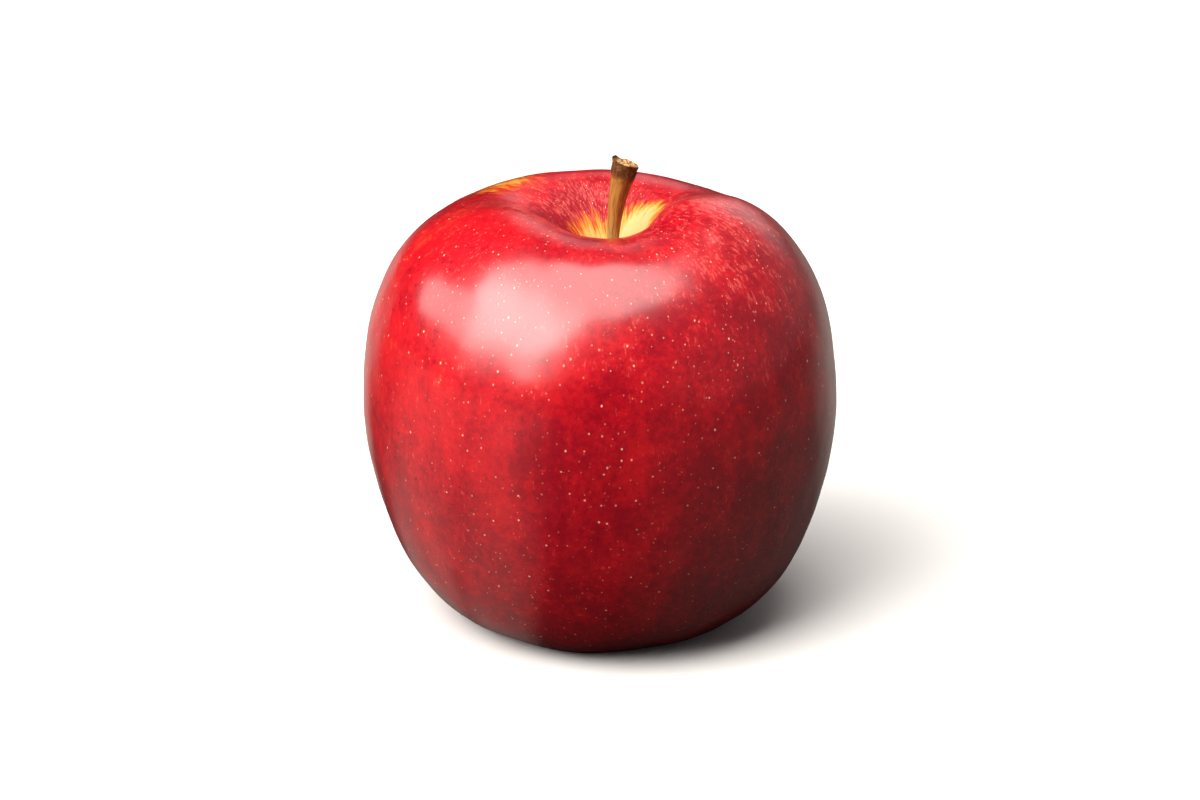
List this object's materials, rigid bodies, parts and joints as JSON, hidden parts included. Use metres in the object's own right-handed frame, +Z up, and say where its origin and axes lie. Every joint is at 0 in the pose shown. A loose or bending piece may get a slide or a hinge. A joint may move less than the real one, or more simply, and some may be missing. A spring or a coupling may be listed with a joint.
{
  "type": "apple",
  "caption": "Ripe red apple with a short woody stalk in its top hollow and a dried calyx underneath; it stands by itself on the lobes round its base.",
  "frame": {"origin": "on the ground under the middle of the fruit, at the bottom centre of its box", "axes": "+Z up along the fruit's core, from calyx to stalk; -Y is the fruit's front; the stalk leans to +X"},
  "size_m": [0.0778, 0.0778, 0.0772],
  "materials": {
    "skin": "waxy apple skin, red with fine darker streaks and pale pores",
    "stalk": "dry woody stalk, tan to dark brown",
    "calyx": "dried felted sepals and stamens, grey-brown"
  },
  "bodies": {
    "root": {"fruit": "skin", "stalk": "stalk", "sepal_1": "calyx", "sepal_2": "calyx", "sepal_3": "calyx", "sepal_4": "calyx", "sepal_5": "calyx", "stamen_tuft": "calyx"}
  },
  "joints": []
}
